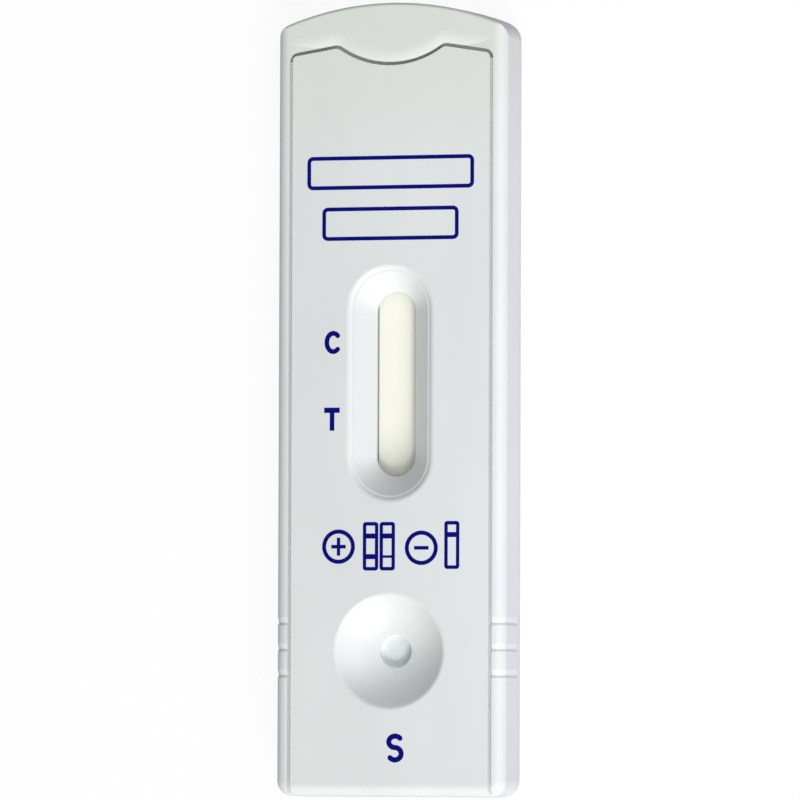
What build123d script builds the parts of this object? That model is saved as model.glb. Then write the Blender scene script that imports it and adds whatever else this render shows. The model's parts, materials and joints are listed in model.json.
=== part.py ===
"""Lateral flow cassette: two moulded housing halves pressed together round a layered test strip.

Millimetres. The origin is on the table, under the middle of the housing. +X runs across the
housing, +Y along it from the square heel to the arched end, and +Z up.
"""

import os
from math import atan, cos, hypot, radians, sin, sqrt, tan

from build123d import *

# Housing in plan
length = 70.0  # heel to the crest of the arched end
width = 21.2  # side to side at the seam
arch_radius = 26.8  # arched end
arch_corner = 1.7  # rounding between the arch and a side
heel_corner = 1.4  # rounding between the heel and a side
inner_corner = 0.5  # rounding of the corners inside the housing

# Housing in section
height = 5.2  # table to top face
seam_height = 1.2  # table to the seam between the halves
draft = 1.5  # mould draft of the outer walls, in degrees
side_round = 1.05  # rounding of the top face's rim, along the sides and the heel
arch_round = 0.3  # rounding of the rim at the arched end
foot_round = 0.25  # rounding of the base's lower rim
wall = 1.2  # side walls of the top half
roof = 1.2  # top wall of the top half
floor = 0.9  # bottom wall of the base
base_step = 0.05  # the base stands in from the top half at the seam
lip_wall = 0.6  # lip of the base, inside the top half's walls
lip_height = 0.8
lip_play = 0.1

# Panel line moulded in the top face, with the thumb notch at its arched end
panel_width = 18.12
panel_margin = 4.72  # arch crest back to the panel's corners
panel_rise = 0.68  # corners up to the two peaks beside the notch
notch_width = 9.8
notch_depth = 1.6
panel_round = 0.4  # rounding of the panel's corners
peak_round = 0.7  # rounding of the two peaks
line_width = 0.31
line_depth = 0.8  # along the crown
side_line_depth = 0.4
panel_runout = 1.2  # the panel's outline runs on past the heel

# Crown, the end of the top face beyond the panel, rolled down towards the line along an arc
crown_ease = 1.1
crown_drop = 0.2
crown_steps = 4
crown_fade = 2.5  # the roll runs out over this width at either end

# Read window: a soft sloping rim, a narrow lip, then steep sides down to a slot over the membrane
window_from_heel = 36.35
window_length = 20.7
window_width = 7.7
window_rim = 0.34
window_rim_drop = 0.27
window_rim_round = 0.6
window_lip = 0.46  # rim and lip together
window_lip_drop = 0.3
slot_length = 16.3
slot_width = 3.6
slot_land = 0.3  # upright wall at the foot of the slopes
slot_gap = 0.65  # land down to the membrane
collar_wall = 0.8

# Sample well: a spherical bowl with a round port over the sample pad
well_from_heel = 12.8
well_diameter = 9.9
well_rim_round = 0.4
well_wall = 0.9
port_diameter = 2.9
port_length = 0.35

# Grip grooves across both side borders, level with the well
grips_from_heel = 13.0  # to the middle groove
grip_count = 3
grip_pitch = 2.3
grip_depth = 0.1
grip_ease = 0.48  # width of the gentle side, towards the arch
grip_fall = 0.22  # width of the steep side, towards the heel

# Test strip
strip_width = 4.0
strip_from_heel = 4.0
strip_from_arch = 6.0
card_thickness = 0.3
membrane_thickness = 0.15
conjugate_thickness = 0.4
sample_thickness = 0.6
absorbent_thickness = 0.85
membrane_before_slot = 3.5
membrane_past_slot = 4.5
conjugate_length = 7.5
layer_lap = 1.6
layer_ramp = 0.5

# Strip seat in the base
strip_play = 0.15
rail_wall = 0.8
rail_rise = 0.4  # above the card
support_height = 0.95
support_width = 0.8
support_pitch = 8.0

# Press pins of the top half in the sockets of the base
pin_rows = 4
pin_from_heel = 5.0
pin_from_arch = 7.0
pin_wall_gap = 0.15
pin_play = 0.02
pin_sides = 6
pin_floor_gap = 0.3
pin_tip = 0.2
socket_height = 1.3
socket_wall = 0.9
socket_bore = 1.6

# Bars under the roof that hold the strip's laps down
bar_width = 0.8
bar_from_strip_end = 3.0

# Places along the housing
heel_y = -length / 2
arch_y = length / 2
window_y = heel_y + window_from_heel
well_y = heel_y + well_from_heel
grips_y = heel_y + grips_from_heel
strip_start = heel_y + strip_from_heel
strip_end = arch_y - strip_from_arch
strip_length = strip_end - strip_start
strip_y = (strip_start + strip_end) / 2
membrane_start = window_y - slot_length / 2 - membrane_before_slot
membrane_end = window_y + slot_length / 2 + membrane_past_slot
conjugate_end = membrane_start + layer_lap
conjugate_start = conjugate_end - conjugate_length
pin_first = heel_y + pin_from_heel
pin_last = arch_y - pin_from_arch

# Levels above the table
ceiling = height - roof
lip_top = seam_height + lip_height
strip_base = floor + support_height
card_top = strip_base + card_thickness
membrane_top = card_top + membrane_thickness
conjugate_top = card_top + conjugate_thickness
pad_top = card_top + sample_thickness
rail_top = card_top + rail_rise
collar_foot = membrane_top + slot_gap
slot_edge = collar_foot + slot_land
port_rim = pad_top + port_length
socket_top = floor + socket_height
pin_foot = floor + pin_floor_gap

# The bowl's sphere passes through the well's rim and the port's rim
bowl_depth = height - port_rim
bowl_lift = ((well_diameter / 2) ** 2 - (port_diameter / 2) ** 2 - bowl_depth**2) / (2 * bowl_depth)
bowl_radius = hypot(well_diameter / 2, bowl_lift)
bowl_centre = height + bowl_lift

# Across the housing
base_wall = wall + lip_play + lip_wall
socket_radius = socket_bore / 2 + socket_wall
pin_x = width / 2 - base_wall - pin_wall_gap - socket_radius
pin_grid = GridLocations(2 * pin_x, (pin_last - pin_first) / (pin_rows - 1), 2, pin_rows)
pin_y = (pin_first + pin_last) / 2


def housing_plan(inset, heel_radius, arch_radius_at_side, heel_end=heel_y):
    """The housing in plan, moved in by inset, with its four corners rounded."""
    side = width / 2 - inset
    heel = heel_end + inset
    crest = arch_y - inset
    radius = arch_radius - inset
    shoulder = crest - radius + sqrt(radius**2 - side**2)
    with BuildSketch() as plan:
        with BuildLine():
            Polyline((-side, shoulder), (-side, heel), (side, heel), (side, shoulder))
            ThreePointArc((side, shoulder), (0, crest), (-side, shoulder))
        make_face()
        fillet(plan.vertices().group_by(Axis.Y)[0], radius=heel_radius)
        fillet(plan.vertices().group_by(Axis.Y)[-1], radius=arch_radius_at_side)
    return plan.sketch


def panel_plan(margin):
    """The panel in plan, grown by margin. It runs out over the heel."""
    side = panel_width / 2
    open_y = heel_y - panel_runout
    corner_y = arch_y - panel_margin
    peak_y = corner_y + panel_rise
    with BuildSketch() as plan:
        with BuildLine():
            Polyline((-notch_width / 2, peak_y), (-side, corner_y), (-side, open_y))
            Line((-side, open_y), (side, open_y))
            Polyline((side, open_y), (side, corner_y), (notch_width / 2, peak_y))
            ThreePointArc((notch_width / 2, peak_y), (0, peak_y - notch_depth), (-notch_width / 2, peak_y))
        make_face()
        fillet(plan.vertices().group_by(Axis.Y)[1], radius=panel_round)
        fillet(plan.vertices().group_by(Axis.Y)[-1], radius=peak_round)
        if margin:
            offset(amount=margin)
    return plan.sketch


def stepped_layer(tail, edge, tip, lift, thickness):
    """A layer from the side: on the card from its tail, then up a ramp over another layer's edge."""
    ramp = layer_ramp if tail < edge else -layer_ramp
    with BuildSketch() as side_view:
        with BuildLine():
            Polyline(
                (tail, card_top),
                (edge - ramp, card_top),
                (edge, card_top + lift),
                (tip, card_top + lift),
                (tip, card_top + lift + thickness),
                (edge, card_top + lift + thickness),
                (edge - ramp, card_top + thickness),
                (tail, card_top + thickness),
                close=True,
            )
        make_face()
    return side_view.sketch


# Cutter for one pair of grip grooves: a V that follows the top face, the rim and the wall
wall_slope = tan(radians(draft))
with BuildPart() as grip_cutter:
    with BuildLine(Plane.XZ):
        FilletPolyline(
            (0, height),
            (width / 2 - (height - seam_height) * wall_slope, height),
            (width / 2 + grip_depth * wall_slope, seam_height - grip_depth),
            radius=side_round,
        )
    with BuildSketch(Plane.YZ):
        with BuildLine():
            Polyline(
                (0, height - grip_depth),
                (2 * grip_ease, height + grip_depth),
                (-2 * grip_fall, height + grip_depth),
                close=True,
            )
        make_face()
    sweep()
    split(bisect_by=Plane.YZ.offset((panel_width + line_width) / 2))
    mirror(about=Plane.YZ)

# Cutter that rolls the crown down to the panel line, and runs out towards the panel's corners
crown_turn = 2 * atan(crown_drop / crown_ease)
crown_radius = crown_ease / sin(crown_turn)
with BuildPart() as crown_relief:
    for step in range(crown_steps + 1):
        turn = crown_turn * step / crown_steps
        with BuildSketch(Plane.XY.offset(height - crown_radius * (1 - cos(turn)))):
            add(panel_plan(line_width + crown_ease - crown_radius * sin(turn)))
    loft(ruled=True)
    with BuildSketch(Plane.XZ.offset(-arch_y)):
        with BuildLine():
            Polyline(
                (-panel_width / 2, height),
                (crown_fade - panel_width / 2, height - crown_drop),
                (panel_width / 2 - crown_fade, height - crown_drop),
                (panel_width / 2, height),
                close=True,
            )
        make_face()
    extrude(amount=panel_margin + notch_depth, mode=Mode.INTERSECT)
    with BuildSketch(Plane.XY.offset(height)):
        add(panel_plan(0))
    extrude(amount=-crown_drop, mode=Mode.SUBTRACT)

# Form of the arched end, with its tighter rim, run on past the heel
with BuildPart() as arch_form:
    with BuildSketch(Plane.XY.offset(seam_height)):
        add(housing_plan(0, arch_corner, arch_corner, heel_y - heel_corner))
    extrude(amount=height - seam_height, taper=draft)
    fillet(arch_form.faces().sort_by(Axis.Z)[-1].edges(), radius=arch_round)

# Top half of the housing
with BuildPart() as top_shell:
    # Outer form, well rounded along the sides and the heel, ended by the arch, and the hollow in it
    with BuildSketch(Plane((0, arch_y, seam_height))) as bar_plan:
        Rectangle(width, 2 * length)
        fillet(bar_plan.vertices().group_by(Axis.Y)[0], radius=heel_corner)
    extrude(amount=height - seam_height, taper=draft)
    fillet(top_shell.faces().sort_by(Axis.Z)[-1].edges(), radius=side_round)
    add(arch_form.part, mode=Mode.INTERSECT)
    with BuildSketch(Plane.XY.offset(seam_height)):
        add(housing_plan(wall, inner_corner, inner_corner))
    extrude(amount=ceiling - seam_height, taper=draft, mode=Mode.SUBTRACT)

    # Collar that carries the window's slopes down to the strip
    with BuildSketch(Plane((0, window_y, collar_foot))):
        SlotOverall(slot_length + 2 * collar_wall, slot_width + 2 * collar_wall, rotation=90)
    with BuildSketch(Plane((0, window_y, ceiling))):
        SlotOverall(window_length - 2 * window_lip, window_width - 2 * window_lip, rotation=90)
    loft(ruled=True)

    # Cup of the sample well, seated on the sample pad
    with BuildSketch(Plane.XZ.offset(-well_y)):
        with Locations((0, bowl_centre)):
            Circle(bowl_radius + well_wall)
        with Locations((0, pad_top)):
            Rectangle(
                bowl_radius + well_wall,
                ceiling - pad_top,
                align=(Align.MIN, Align.MIN),
                mode=Mode.INTERSECT,
            )
    revolve(axis=Axis((0, well_y, 0), (0, 0, 1)))

    # Bars over the strip's laps and its arched end
    for bar_y, bar_foot in (
        (conjugate_start + layer_lap / 2, conjugate_top + sample_thickness),
        (membrane_end - layer_lap / 2, membrane_top + absorbent_thickness),
        (strip_end - bar_from_strip_end, card_top + absorbent_thickness),
    ):
        with BuildSketch(Plane((0, bar_y, ceiling))):
            Rectangle(strip_width, bar_width)
        extrude(amount=bar_foot - ceiling)

    # Press pins, each on a round shoulder that meets its socket
    with BuildSketch(Plane((0, pin_y, ceiling))):
        with pin_grid:
            Circle(socket_radius)
    extrude(amount=socket_top - ceiling)
    with BuildSketch(Plane((0, pin_y, socket_top))):
        with pin_grid:
            RegularPolygon(socket_bore / 2 - pin_play, pin_sides)
    extrude(amount=pin_foot - socket_top)
    pin_ends = top_shell.faces(Select.LAST).filter_by(Plane.XY).group_by(Axis.Z)[0]
    chamfer(pin_ends.edges(), length=pin_tip)

    # Read window, from its rim and lip down the slopes to the upright land
    for drop, inset in ((0, 0), (window_rim_drop, window_rim), (window_lip_drop, window_lip)):
        with BuildSketch(Plane((0, window_y, height - drop))):
            SlotOverall(window_length - 2 * inset, window_width - 2 * inset, rotation=90)
    with BuildSketch(Plane((0, window_y, slot_edge))):
        SlotOverall(slot_length, slot_width, rotation=90)
    loft(ruled=True, mode=Mode.SUBTRACT)
    fillet(top_shell.edges(Select.LAST).group_by(Axis.Z)[-1], radius=window_rim_round)
    with BuildSketch(Plane((0, window_y, slot_edge))):
        SlotOverall(slot_length, slot_width, rotation=90)
    extrude(amount=-slot_land, mode=Mode.SUBTRACT)

    # Bowl and port of the sample well
    with Locations((0, well_y, bowl_centre)):
        Sphere(bowl_radius, mode=Mode.SUBTRACT)
    fillet(top_shell.edges(Select.LAST).group_by(Axis.Z)[-1], radius=well_rim_round)
    with Locations((0, well_y, height)):
        Hole(port_diameter / 2)

    # Crown rolled down towards the panel, and the line round the panel, deeper along the crown
    add(crown_relief.part, mode=Mode.SUBTRACT)
    with BuildSketch(Plane.XY.offset(height)):
        Rectangle(width, length)
        add(panel_plan(line_width), mode=Mode.INTERSECT)
        add(panel_plan(0), mode=Mode.SUBTRACT)
    extrude(amount=-side_line_depth, mode=Mode.SUBTRACT)
    with BuildSketch(Plane.XY.offset(height)):
        Rectangle(panel_width, length)
        with Locations((0, arch_y)):
            Rectangle(width, 2 * (panel_margin + panel_round))
        add(panel_plan(line_width), mode=Mode.INTERSECT)
        add(panel_plan(0), mode=Mode.SUBTRACT)
    extrude(amount=-line_depth, mode=Mode.SUBTRACT)

    # Grip grooves
    with Locations((0, grips_y, 0)):
        with GridLocations(0, grip_pitch, 1, grip_count):
            add(grip_cutter.part, mode=Mode.SUBTRACT)
top_shell.part.label = "top_shell"

# Base of the housing
with BuildPart() as bottom_shell:
    # Shallow tray with a rounded foot, and the lip that centres the top half
    with BuildSketch(Plane.XY.offset(seam_height)):
        add(housing_plan(base_step, heel_corner, arch_corner))
    extrude(amount=-seam_height, taper=draft)
    fillet(bottom_shell.faces().sort_by(Axis.Z)[0].edges(), radius=foot_round)
    with BuildSketch(Plane.XY.offset(seam_height)):
        add(housing_plan(wall + lip_play, inner_corner, inner_corner))
    extrude(amount=lip_height)
    with BuildSketch(Plane.XY.offset(floor)):
        add(housing_plan(base_wall, inner_corner, inner_corner))
    extrude(amount=lip_top - floor, mode=Mode.SUBTRACT)

    # Rails and end stops round the strip, and the supports under it
    with BuildSketch(Plane((0, strip_y, floor))):
        Rectangle(
            strip_width + 2 * (strip_play + rail_wall),
            strip_length + 2 * (strip_play + rail_wall),
        )
        Rectangle(
            strip_width + 2 * strip_play,
            strip_length + 2 * strip_play,
            mode=Mode.SUBTRACT,
        )
    extrude(amount=rail_top - floor)
    with BuildSketch(Plane((0, strip_y, floor))):
        with GridLocations(0, support_pitch, 1, int(strip_length // support_pitch)):
            Rectangle(strip_width + 2 * strip_play, support_width)
    extrude(amount=support_height)

    # Sockets for the press pins
    with BuildSketch(Plane((0, pin_y, floor))):
        with pin_grid:
            Circle(socket_radius)
            Circle(socket_bore / 2, mode=Mode.SUBTRACT)
    extrude(amount=socket_height)
bottom_shell.part.label = "bottom_shell"

# Backing card under the whole strip
with BuildPart() as backing_card:
    with BuildSketch(Plane((0, strip_y, strip_base))):
        Rectangle(strip_width, strip_length)
    extrude(amount=card_thickness)
backing_card.part.label = "backing_card"

# Membrane behind the read window
with BuildPart() as membrane:
    with BuildSketch(Plane((0, (membrane_start + membrane_end) / 2, card_top))):
        Rectangle(strip_width, membrane_end - membrane_start)
    extrude(amount=membrane_thickness)
membrane.part.label = "membrane"

# Conjugate pad, lapped over the membrane's near end
with BuildPart() as conjugate_pad:
    with BuildSketch(Plane.YZ):
        add(
            stepped_layer(
                tail=conjugate_start,
                edge=membrane_start,
                tip=conjugate_end,
                lift=membrane_thickness,
                thickness=conjugate_thickness,
            )
        )
    extrude(amount=strip_width / 2, both=True)
conjugate_pad.part.label = "conjugate_pad"

# Sample pad, under the well and lapped over the conjugate pad
with BuildPart() as sample_pad:
    with BuildSketch(Plane.YZ):
        add(
            stepped_layer(
                tail=strip_start,
                edge=conjugate_start,
                tip=conjugate_start + layer_lap,
                lift=conjugate_thickness,
                thickness=sample_thickness,
            )
        )
    extrude(amount=strip_width / 2, both=True)
sample_pad.part.label = "sample_pad"

# Absorbent pad, lapped over the membrane's far end
with BuildPart() as absorbent_pad:
    with BuildSketch(Plane.YZ):
        add(
            stepped_layer(
                tail=strip_end,
                edge=membrane_end,
                tip=membrane_end - layer_lap,
                lift=membrane_thickness,
                thickness=absorbent_thickness,
            )
        )
    extrude(amount=strip_width / 2, both=True)
absorbent_pad.part.label = "absorbent_pad"

os.makedirs("parts", exist_ok=True)
for piece in (top_shell, bottom_shell, backing_card, membrane, conjugate_pad, sample_pad, absorbent_pad):
    export_step(piece.part, f"parts/{piece.part.label}.step")
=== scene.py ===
"""Looks of the lateral flow cassette: finishes, print, light and camera round the fixed CAD frame.

Metres, in the frame's own axes: +X across the housing, +Y towards its arched end, +Z up. The grain
of the finishes, the dish in the sample pad and the print are given in millimetres.
"""

import json
from math import cos, pi, radians, sin

import bmesh
import bpy
from mathutils import Matrix, Vector


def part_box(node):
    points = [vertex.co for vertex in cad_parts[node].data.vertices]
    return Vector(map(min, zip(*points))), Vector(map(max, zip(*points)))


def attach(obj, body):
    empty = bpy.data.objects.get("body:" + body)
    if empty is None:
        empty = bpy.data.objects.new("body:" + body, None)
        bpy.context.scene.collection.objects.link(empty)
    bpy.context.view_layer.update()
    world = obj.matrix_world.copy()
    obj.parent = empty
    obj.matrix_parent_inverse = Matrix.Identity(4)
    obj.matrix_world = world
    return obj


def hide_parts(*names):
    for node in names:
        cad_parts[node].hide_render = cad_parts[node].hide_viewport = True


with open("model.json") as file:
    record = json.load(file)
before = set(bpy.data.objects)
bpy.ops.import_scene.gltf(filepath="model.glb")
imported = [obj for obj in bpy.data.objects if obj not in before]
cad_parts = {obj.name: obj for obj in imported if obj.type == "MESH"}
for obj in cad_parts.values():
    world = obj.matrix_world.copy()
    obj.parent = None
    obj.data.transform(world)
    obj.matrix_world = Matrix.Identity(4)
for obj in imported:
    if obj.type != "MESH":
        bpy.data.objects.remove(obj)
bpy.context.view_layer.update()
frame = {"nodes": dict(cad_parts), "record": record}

MM = 0.001
scene = bpy.context.scene
nodes = frame["nodes"]
face_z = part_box("top_shell")[1].z


def scene_object(name, mesh):
    """An object in the scene made from mesh, a bmesh, which is freed."""
    data = bpy.data.meshes.new(name)
    mesh.to_mesh(data)
    mesh.free()
    made = bpy.data.objects.new(name, data)
    scene.collection.objects.link(made)
    return made


# Materials

def srgb(red, green, blue):
    """A colour as it is seen, 0 to 255, in the linear values that shaders take."""
    seen = [channel / 255 for channel in (red, green, blue)]
    linear = [c / 12.92 if c <= 0.04045 else ((c + 0.055) / 1.055) ** 2.4 for c in seen]
    return (*linear, 1.0)


# Where a finish has a pair of colours, it varies between them
HOUSING_WHITE = (srgb(219, 224, 222), srgb(224, 229, 227))
CROWN_WHITE = srgb(220, 225, 217)
FILM_WHITE = (srgb(222, 222, 219), srgb(230, 230, 227))
MEMBRANE_CREAM = (srgb(246, 247, 232), srgb(251, 252, 239))
# Painted shade: a grey laid along the membrane's long edges for the dark gap under the slot's edges
PAINTED_GAP_SHADE_GREY = srgb(150, 148, 146)
CONJUGATE_PINK = (srgb(214, 190, 188), srgb(233, 216, 213))
SAMPLE_GREY = (srgb(218, 226, 226), srgb(232, 238, 237))
ABSORBENT_WHITE = (srgb(238, 238, 234), srgb(247, 247, 243))
INK_BLUE = (srgb(0, 2, 108), srgb(4, 8, 124))

# Spans of a noise's values that a ramp spreads out: narrow for patches, wide for soft changes
PATCHES = (0.35, 0.65)
SOFT = (0.3, 0.7)

HOUSING_IOR = 1.55
FIBRE_SPECULAR = 0.2
INK_SPECULAR = 0.08

# Where along the housing its white turns into the crown's
CROWN_TURN = (20 * MM, 31 * MM)

# How far in from the membrane's long edges the painted shade begins, and where it is full
PAINTED_SHADE_BEGINS = 0.18 * MM
PAINTED_SHADE_FULL = 0.11 * MM

# How much coarser the fibres that lie across a mat are than those along it
CROSS_FIBRE = 1.7


class Finish:
    """A Principled material whose detail comes from noise in the object's own space."""

    def __init__(self, name):
        self.material = bpy.data.materials.new(name)
        self.material.use_nodes = True
        self.tree = self.material.node_tree
        self.shader = self.tree.nodes["Principled BSDF"]
        self.place = self.tree.nodes.new("ShaderNodeTexCoord").outputs["Object"]

    def node(self, kind, **settings):
        """A new node of that kind with its settings."""
        made = self.tree.nodes.new(kind)
        for key, value in settings.items():
            setattr(made, key, value)
        return made

    def link(self, source, target):
        self.tree.links.new(source, target)

    def along(self, axis):
        """The place along one of the object's axes, X, Y or Z."""
        split = self.node("ShaderNodeSeparateXYZ")
        self.link(self.place, split.inputs["Vector"])
        return split.outputs[axis]

    def noise(self, size, detail=3.0, pace=(1.0, 1.0, 1.0)):
        """Noise from 0 to 1 in lumps of about size millimetres, longer where an axis's pace is under 1."""
        mapping = self.node("ShaderNodeMapping")
        mapping.inputs["Scale"].default_value = pace
        self.link(self.place, mapping.inputs["Vector"])
        texture = self.node("ShaderNodeTexNoise")
        texture.inputs["Scale"].default_value = 1 / (size * MM)
        texture.inputs["Detail"].default_value = detail
        self.link(mapping.outputs["Vector"], texture.inputs["Vector"])
        return texture.outputs["Fac"]

    def ramp(self, value, span, to=(0.0, 1.0)):
        """value over span, mapped to run over to."""
        mapped = self.node("ShaderNodeMapRange")
        for key, number in zip(("From Min", "From Max", "To Min", "To Max"), (*span, *to)):
            mapped.inputs[key].default_value = number
        self.link(value, mapped.inputs["Value"])
        return mapped.outputs["Result"]

    def mix(self, share, first, second):
        """Two colours, or colour outputs, mixed by share."""
        blend = self.node("ShaderNodeMix", data_type="RGBA")
        self.link(share, blend.inputs["Factor"])
        for socket, colour in ((blend.inputs["A"], first), (blend.inputs["B"], second)):
            if isinstance(colour, tuple):
                socket.default_value = colour
            else:
                self.link(colour, socket)
        return blend.outputs["Result"]

    def bump(self, height, relief, strength=1.0, before=None):
        """A bump whose full height is relief millimetres, on top of the bump before it."""
        made = self.node("ShaderNodeBump")
        made.inputs["Distance"].default_value = relief * MM
        made.inputs["Strength"].default_value = strength
        self.link(height, made.inputs["Height"])
        if before:
            self.link(before, made.inputs["Normal"])
        return made.outputs["Normal"]

    def finish(self, colour, roughness, normal):
        """The material, once these are wired to its shader."""
        self.link(colour, self.shader.inputs["Base Color"])
        self.link(roughness, self.shader.inputs["Roughness"])
        self.link(normal, self.shader.inputs["Normal"])
        return self.material


def housing_finish():
    """Satin white moulding: faint flow marks, a fine mould grain and a slightly warmer crown."""
    made = Finish("moulded_white")
    flow = made.ramp(made.noise(size=9.0, pace=(1.0, 0.35, 1.0)), PATCHES)
    body = made.mix(flow, *HOUSING_WHITE)
    crown = made.ramp(made.along("Y"), CROWN_TURN)
    colour = made.mix(crown, body, CROWN_WHITE)
    roughness = made.ramp(made.noise(size=2.5), SOFT, to=(0.36, 0.46))
    waves = made.bump(made.noise(size=3.0, detail=1.0), relief=0.01, strength=0.5)
    grain = made.bump(made.noise(size=0.12, detail=2.0), relief=0.003, before=waves)
    made.shader.inputs["IOR"].default_value = HOUSING_IOR
    return made.finish(colour, roughness, grain)


def film_finish():
    """Matt white card under the strip."""
    made = Finish("backing_film")
    colour = made.mix(made.noise(size=4.0), *FILM_WHITE)
    roughness = made.ramp(made.noise(size=1.0), SOFT, to=(0.5, 0.65))
    grain = made.bump(made.noise(size=0.2), relief=0.004)
    return made.finish(colour, roughness, grain)


def fibre_finish(name, colours, fibre, relief):
    """Fibre mat or paper that varies between two colours, its fibres about that wide."""
    made = Finish(name)
    lint = made.noise(size=fibre, detail=6.0, pace=(1.0, 0.45, 1.0))
    cross = made.noise(size=fibre * CROSS_FIBRE, detail=6.0, pace=(0.5, 1.0, 1.0))
    colour = made.mix(made.ramp(lint, PATCHES), *colours)
    roughness = made.ramp(cross, SOFT, to=(0.85, 1.0))
    felt = made.bump(cross, relief, before=made.bump(lint, relief))
    made.shader.inputs["Specular IOR Level"].default_value = FIBRE_SPECULAR
    return made.finish(colour, roughness, felt)


def membrane_finish():
    """Creamy nitrocellulose, with a grey band of painted shade along its two long edges, standing for the
    dark gap under the slot's edges.
    """
    made = Finish("nitrocellulose")
    pores = made.ramp(made.noise(size=0.06, detail=6.0), PATCHES)
    sheet = made.mix(pores, *MEMBRANE_CREAM)
    from_middle = made.node("ShaderNodeMath", operation="ABSOLUTE")
    made.link(made.along("X"), from_middle.inputs[0])
    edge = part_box("membrane")[1].x
    # The grey band along the long edges is painted shade, for the dark gap under the slot's edges
    cut = made.ramp(from_middle.outputs["Value"], (edge - PAINTED_SHADE_BEGINS, edge - PAINTED_SHADE_FULL))
    colour = made.mix(cut, sheet, PAINTED_GAP_SHADE_GREY)
    roughness = made.ramp(made.noise(size=0.3), SOFT, to=(0.85, 1.0))
    grain = made.bump(made.noise(size=0.08), relief=0.003)
    made.shader.inputs["Specular IOR Level"].default_value = FIBRE_SPECULAR
    return made.finish(colour, roughness, grain)


def ink_finish():
    """Dark blue pad print, a little uneven in density."""
    made = Finish("blue_ink")
    cover = made.ramp(made.noise(size=0.5, detail=4.0), SOFT)
    colour = made.mix(cover, *INK_BLUE)
    roughness = made.ramp(made.noise(size=0.3), SOFT, to=(0.6, 0.75))
    grain = made.bump(made.noise(size=0.1), relief=0.002)
    made.shader.inputs["Specular IOR Level"].default_value = INK_SPECULAR
    return made.finish(colour, roughness, grain)


housing = housing_finish()
finishes = {
    "top_shell": housing,
    "bottom_shell": housing,
    "backing_card": film_finish(),
    "membrane": membrane_finish(),
    "conjugate_pad": fibre_finish("conjugate_fibre", CONJUGATE_PINK, fibre=0.08, relief=0.02),
    "sample_pad": fibre_finish("sample_fibre", SAMPLE_GREY, fibre=0.1, relief=0.02),
    "absorbent_pad": fibre_finish("absorbent_paper", ABSORBENT_WHITE, fibre=0.12, relief=0.03),
}
for name, finish in finishes.items():
    shown = nodes[name]
    shown.data.materials.clear()
    shown.data.materials.append(finish)


# Sample pad: pressed down inside the port, where its fibres show

DISH_DEPTH = 0.4
DISH_CROWN = 0.04
DISH_SLOPE = 0.08
DISH_RINGS = 5
DISH_SIDES = 72
WELD = 0.001


def dish_profile(port_radius):
    """Radius and height of each ring of the dish: out over its crowned floor, then up its side."""
    floor_radius = port_radius - DISH_SLOPE
    shares = [ring / DISH_RINGS for ring in range(1, DISH_RINGS + 1)]
    floor_rings = [(floor_radius * share, DISH_CROWN * (1 - share**2) - DISH_DEPTH) for share in shares]
    return floor_rings + [(port_radius, DISH_SLOPE - DISH_DEPTH), (port_radius, DISH_DEPTH)]


def dish_tool():
    """The solid that is cut out of the pad: as wide as the port, and reaching over the port's foot."""
    port = next(mount for mount in frame["record"]["mounts"] if mount["name"] == "sample_port")
    across, along, middle = port["pos_m"]
    foot = middle - port["dims"]["length_mm"] * MM / 2
    turns = [2 * pi * k / DISH_SIDES for k in range(DISH_SIDES)]
    mesh = bmesh.new()
    rings = []
    for radius, height in dish_profile(port["dims"]["r_mm"]):
        reach = radius * MM
        level = foot + height * MM
        places = [(across + reach * cos(a), along + reach * sin(a), level) for a in turns]
        rings.append([mesh.verts.new(place) for place in places])
    pole = mesh.verts.new((across, along, foot + (DISH_CROWN - DISH_DEPTH) * MM))
    for k in range(DISH_SIDES):
        after = (k + 1) % DISH_SIDES
        mesh.faces.new((pole, rings[0][k], rings[0][after]))
        for lower, upper in zip(rings, rings[1:]):
            mesh.faces.new((lower[k], upper[k], upper[after], lower[after]))
    mesh.faces.new(rings[-1])
    bmesh.ops.recalc_face_normals(mesh, faces=mesh.faces)
    return scene_object("dish_tool", mesh)


def pressed_pad():
    """The sample pad with the dish in it."""
    mesh = bmesh.new()
    mesh.from_mesh(nodes["sample_pad"].data)
    bmesh.ops.remove_doubles(mesh, verts=mesh.verts, dist=WELD * MM)
    piece = scene_object("pressed_sample_pad", mesh)
    tool = dish_tool()
    cut = piece.modifiers.new("dish", "BOOLEAN")
    cut.operation = "DIFFERENCE"
    cut.solver = "EXACT"
    cut.object = tool
    bpy.context.view_layer.update()
    shaped = bpy.data.meshes.new_from_object(piece.evaluated_get(bpy.context.evaluated_depsgraph_get()))
    piece.modifiers.clear()
    piece.data = shaped
    bpy.data.objects.remove(tool)
    shaped.materials.clear()
    shaped.materials.append(finishes["sample_pad"])
    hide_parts("sample_pad")
    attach(piece, "root")


pressed_pad()


# Print on the panel: flat shapes of ink, each a thin closed solid on the top face

INK_THICK = 0.012 * MM
ARC_STEPS = 24
CORNER_STEPS = 6
END_STEPS = 8

# A mitre divides a stroke's half width by a cosine, which is held at this or more to avoid spikes
MITRE_LEAST = 0.4


def arc(centre, radii, start, end, steps=ARC_STEPS):
    """Points along an ellipse's arc, angles in degrees."""
    turns = [radians(start + (end - start) * k / steps) for k in range(steps + 1)]
    return [(centre[0] + radii[0] * cos(a), centre[1] + radii[1] * sin(a)) for a in turns]


def rounded_box(centre, size, corner):
    """The closed centreline of a rectangle with round corners."""
    reach = (size[0] / 2 - corner, size[1] / 2 - corner)
    points = []
    for quarter, (sx, sy) in enumerate(((1, 1), (-1, 1), (-1, -1), (1, -1))):
        pivot = (centre[0] + sx * reach[0], centre[1] + sy * reach[1])
        points += arc(pivot, (corner, corner), 90 * quarter, 90 * quarter + 90, CORNER_STEPS)
    return points


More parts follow.
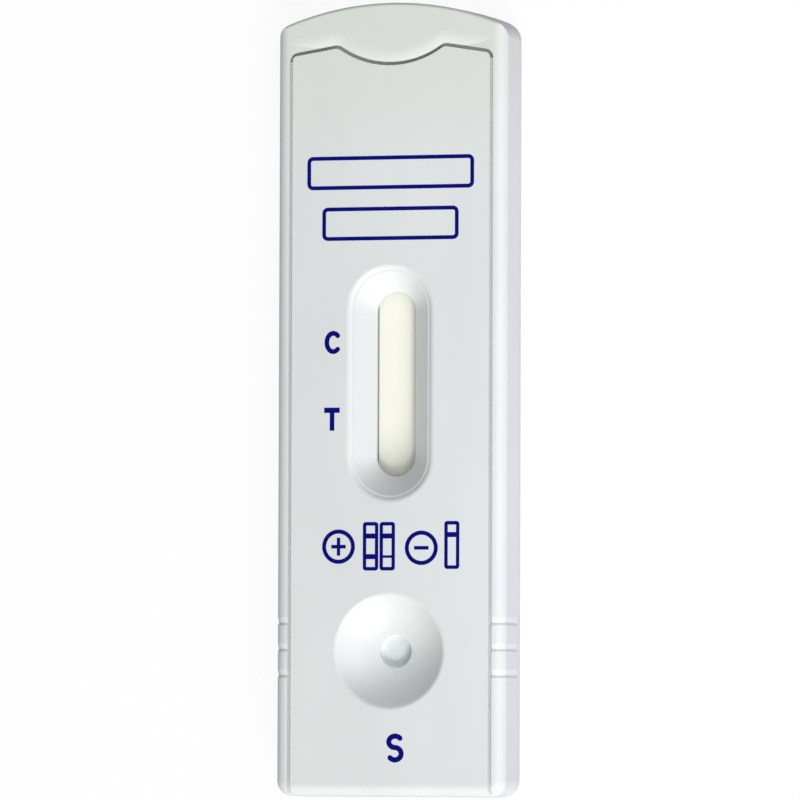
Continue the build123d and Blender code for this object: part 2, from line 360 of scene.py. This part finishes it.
def stroke_sides(line, width, closed):
    """For each point of line, the points half of width to its left and right, mitred at corners."""
    count = len(line)
    sides = []
    for k, point in enumerate(line):
        here = Vector(point)
        before = Vector(line[k - 1] if closed or k else point)
        after = Vector(line[(k + 1) % count] if closed or k < count - 1 else point)
        run_in = here - before
        run_out = after - here
        run_in = run_in.normalized() if run_in.length else run_out.normalized()
        run_out = run_out.normalized() if run_out.length else run_in
        along = (run_in + run_out).normalized()
        side = Vector((-along.y, along.x)) * (width / 2 / max(MITRE_LEAST, along.dot(run_in)))
        sides.append((here + side, here - side))
    return sides


def round_end(mesh, row, outward):
    """Closes a stroke at row, its last four corners, with half a disc that bulges outward."""
    low_left, low_right, high_right, high_left = row
    middle = (low_left.co + low_right.co) / 2
    radial = low_left.co - middle
    bulge = outward * radial.length
    rise = Vector((0, 0, INK_THICK))
    turns = [pi * k / END_STEPS for k in range(1, END_STEPS)]
    rim = [middle + radial * cos(a) + bulge * sin(a) for a in turns]
    low = [low_left] + [mesh.verts.new(point) for point in rim] + [low_right]
    high = [high_left] + [mesh.verts.new(point + rise) for point in rim] + [high_right]
    mesh.faces.new(low)
    mesh.faces.new(high)
    for k in range(END_STEPS):
        mesh.faces.new((low[k], low[k + 1], high[k + 1], high[k]))


def lay_stroke(mesh, line, width, form):
    """Adds a stroke of ink along line. Its form is closed, square ended or round ended."""
    closed = form == "closed"
    rows = []
    for sides in stroke_sides(line, width, closed):
        low = [mesh.verts.new((p.x * MM, p.y * MM, face_z)) for p in sides]
        high = [mesh.verts.new((p.x * MM, p.y * MM, face_z + INK_THICK)) for p in sides]
        rows.append((low[0], low[1], high[1], high[0]))
    for k in range(len(rows) if closed else len(rows) - 1):
        here, there = rows[k], rows[(k + 1) % len(rows)]
        for side in range(4):
            mesh.faces.new((here[side], there[side], there[(side + 1) % 4], here[(side + 1) % 4]))
    if form == "square":
        mesh.faces.new(rows[0])
        mesh.faces.new(tuple(reversed(rows[-1])))
    if form == "round":
        for row, end, before in ((rows[0], line[0], line[1]), (rows[-1], line[-1], line[-2])):
            round_end(mesh, row, (Vector(end) - Vector(before)).normalized().to_3d())


def print_piece(name, strokes):
    """One piece of ink, from strokes of (line, width, form)."""
    mesh = bmesh.new()
    for line, width, form in strokes:
        lay_stroke(mesh, line, width, form)
    bmesh.ops.recalc_face_normals(mesh, faces=mesh.faces)
    piece = scene_object(name, mesh)
    piece.data.materials.append(ink)
    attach(piece, "root")


ink = ink_finish()


# Letters beside the window and under the well: control line, test line, sample

LETTER = 0.42
BOLD = 0.46
BAR_Y = -0.99
STEM_X = -5.305

control_curve = arc((-5.215, 4.985), radii=(0.6, 0.81), start=47, end=313)
print_piece("print_control_mark", [(control_curve, LETTER, "round")])

test_bar = [(-6.035, BAR_Y), (-4.605, BAR_Y)]
test_stem = [(STEM_X, BAR_Y - BOLD / 2), (STEM_X, -2.79)]
print_piece("print_test_mark", [(test_bar, BOLD, "square"), (test_stem, LETTER, "square")])

sample_upper = arc((0.6, -30.14), radii=(0.58, 0.5), start=40, end=262)
sample_lower = arc((0.58, -31.18), radii=(0.58, 0.54), start=82, end=-140)
print_piece("print_sample_mark", [(sample_upper + sample_lower, BOLD, "round")])


# Result key: a plus and a minus in rings, each before small pictures of the strips that read so

RING = 0.36
RING_RADIUS = 1.33
RING_SIDES = 48
SIGN = 0.31
SIGN_REACH = 0.66
PLUS_RISE = 0.79
FRAME_LINE = 0.31
FRAME_CORNER = 0.12
BAND = 0.44
FAINT_BAND = 0.22


def ringed_sign(centre, rise):
    """A minus in a ring, or a plus where it has a rise."""
    x, y = centre
    ring = arc(centre, (RING_RADIUS, RING_RADIUS), 0, 360 - 360 / RING_SIDES, RING_SIDES - 1)
    level = [(x - SIGN_REACH, y), (x + SIGN_REACH, y)]
    strokes = [(ring, RING, "closed"), (level, SIGN, "square")]
    if rise:
        arms = [[(x, y + way * SIGN / 2), (x, y + way * rise)] for way in (1, -1)]
        strokes += [(arm, SIGN, "square") for arm in arms]
    return strokes


def strip_picture(sides, ends, bands):
    """An upright box between its sides and ends, with bands across it, each (height, width)."""
    left, right = sides
    top, bottom = ends
    middle = ((left + right) / 2, (top + bottom) / 2)
    size = (right - left - FRAME_LINE, top - bottom - FRAME_LINE)
    strokes = [(rounded_box(middle, size, FRAME_CORNER), FRAME_LINE, "closed")]
    for height, width in bands:
        strokes.append(([(left + FRAME_LINE, height), (right - FRAME_LINE, height)], width, "square"))
    return strokes


print_piece("print_plus", ringed_sign((-4.665, -13.005), PLUS_RISE))
print_piece("print_minus", ringed_sign((2.945, -13.13), 0))
for name, sides, ends, bands in (
    ("print_strip_strong", (-2.425, -1.005), (-10.85, -15.11), [(-12.08, BAND), (-13.89, BAND)]),
    ("print_strip_faint", (-0.885, 0.525), (-10.85, -15.11), [(-12.08, BAND), (-13.89, FAINT_BAND)]),
    ("print_strip_blank", (5.05, 6.425), (-10.79, -14.99), [(-11.98, BAND)]),
):
    print_piece(name, strip_picture(sides, ends, bands))


# Two empty boxes to write in, at the arched end

BOX_LINE = 0.34
BOX_CORNER = 0.35
BOX_HEIGHT = 2.6

for name, box_y, box_width in (
    ("print_write_in_box", 19.92, 15.0),
    ("print_write_in_box_short", 15.42, 12.2),
):
    outline = rounded_box((0.0, box_y), (box_width, BOX_HEIGHT), BOX_CORNER)
    print_piece(name, [(outline, BOX_LINE, "closed")])


# Floor and surroundings

FLOOR_REACH = 3.0
FLOOR_PAINT = (0.56, 0.52, 0.62, 1.0)
SKY = (0.97, 0.98, 1.0, 1.0)
SKY_STRENGTH = 0.4
WHITE = (1.0, 1.0, 1.0, 1.0)

# What the camera sees of the floor is mostly its glow, and the rest is paint that takes the shadow
FLOOR_GLOW = 1.08
GLOW_SHARE = 0.85


def mixed_for_camera(tree, shader, seen, share):
    """shader as it is, but with seen mixed into it by share where the camera looks straight at it."""
    ray = tree.nodes.new("ShaderNodeLightPath")
    part = tree.nodes.new("ShaderNodeMath")
    part.operation = "MULTIPLY"
    part.inputs[1].default_value = share
    tree.links.new(ray.outputs["Is Camera Ray"], part.inputs[0])
    mix = tree.nodes.new("ShaderNodeMixShader")
    tree.links.new(part.outputs[0], mix.inputs["Fac"])
    tree.links.new(shader.outputs[0], mix.inputs[1])
    tree.links.new(seen.outputs[0], mix.inputs[2])
    return mix.outputs[0]


def floor_finish():
    """White that carries the object's shadow."""
    material = bpy.data.materials.new("floor_white")
    material.use_nodes = True
    tree = material.node_tree
    tree.nodes.clear()
    paint = tree.nodes.new("ShaderNodeBsdfDiffuse")
    paint.inputs["Color"].default_value = FLOOR_PAINT
    glow = tree.nodes.new("ShaderNodeEmission")
    glow.inputs["Strength"].default_value = FLOOR_GLOW
    out = tree.nodes.new("ShaderNodeOutputMaterial")
    tree.links.new(mixed_for_camera(tree, paint, glow, GLOW_SHARE), out.inputs["Surface"])
    return material


def white_floor():
    """A large square table top at the height of the object's underside."""
    data = bpy.data.meshes.new("floor")
    corners = [(x * FLOOR_REACH, y * FLOOR_REACH, 0) for x, y in ((-1, -1), (1, -1), (1, 1), (-1, 1))]
    data.from_pydata(corners, [], [(0, 1, 2, 3)])
    data.materials.append(floor_finish())
    floor = bpy.data.objects.new("floor", data)
    scene.collection.objects.link(floor)


def white_studio():
    """Dim even light from all round, which the camera sees as white."""
    world = bpy.data.worlds.new("studio")
    world.use_nodes = True
    tree = world.node_tree
    sky = tree.nodes["Background"]
    sky.inputs["Color"].default_value = SKY
    sky.inputs["Strength"].default_value = SKY_STRENGTH
    backdrop = tree.nodes.new("ShaderNodeBackground")
    backdrop.inputs["Color"].default_value = WHITE
    backdrop.inputs["Strength"].default_value = 1.0
    out = tree.nodes["World Output"]
    tree.links.new(mixed_for_camera(tree, sky, backdrop, 1.0), out.inputs["Surface"])
    return world


white_floor()
scene.world = white_studio()


# Lamps

def soft_lamp(name, azimuth, elevation, distance, size, power, colour):
    """A square soft light that looks at the middle of the object. Azimuth 0 is +X, 90 is +Y."""
    light = bpy.data.lights.new(name, "AREA")
    light.size = size
    light.energy = power
    light.color = colour
    lamp = bpy.data.objects.new(name, light)
    scene.collection.objects.link(lamp)
    a, e = radians(azimuth), radians(elevation)
    back = Vector((cos(a) * cos(e), sin(a) * cos(e), sin(e)))
    lamp.location = back * distance
    lamp.rotation_mode = "QUATERNION"
    lamp.rotation_quaternion = back.to_track_quat("Z", "Y")


soft_lamp(
    "key", azimuth=-65, elevation=35, distance=2.0, size=0.9, power=35.0, colour=(1.0, 0.99, 0.97)
)
soft_lamp(
    "side_fill", azimuth=0, elevation=42, distance=0.1, size=0.06, power=0.026, colour=(0.92, 0.88, 1.0)
)


# Camera

AIM = Vector((0.115, -0.02, 2.5)) * MM
CAMERA_DISTANCE = 0.7
YAW, PITCH, ROLL = radians(17.05), radians(-2.4), radians(0.193)
PIXELS_PER_METRE = 11340
IMAGE_WIDTH = 800
SENSOR_WIDTH = 36.0
NEAREST, FARTHEST = 0.05, 20.0


def photo_camera():
    """The camera looks down from over the object's +X side, along a line through its middle."""
    back = Vector((sin(YAW) * cos(PITCH), sin(PITCH), cos(YAW) * cos(PITCH)))
    level = Vector((0, 1, 0)).cross(back).normalized()
    upright = back.cross(level)
    right = level * cos(ROLL) + upright * sin(ROLL)
    up = upright * cos(ROLL) - level * sin(ROLL)
    lens = bpy.data.cameras.new("camera")
    lens.sensor_width = SENSOR_WIDTH
    lens.lens = PIXELS_PER_METRE * CAMERA_DISTANCE * SENSOR_WIDTH / IMAGE_WIDTH
    lens.clip_start, lens.clip_end = NEAREST, FARTHEST
    camera = bpy.data.objects.new("camera", lens)
    scene.collection.objects.link(camera)
    turned = Matrix((right, up, back)).transposed().to_4x4()
    camera.matrix_world = Matrix.Translation(AIM + back * CAMERA_DISTANCE) @ turned
    return camera


scene.camera = photo_camera()
scene.view_settings.view_transform = "Standard"
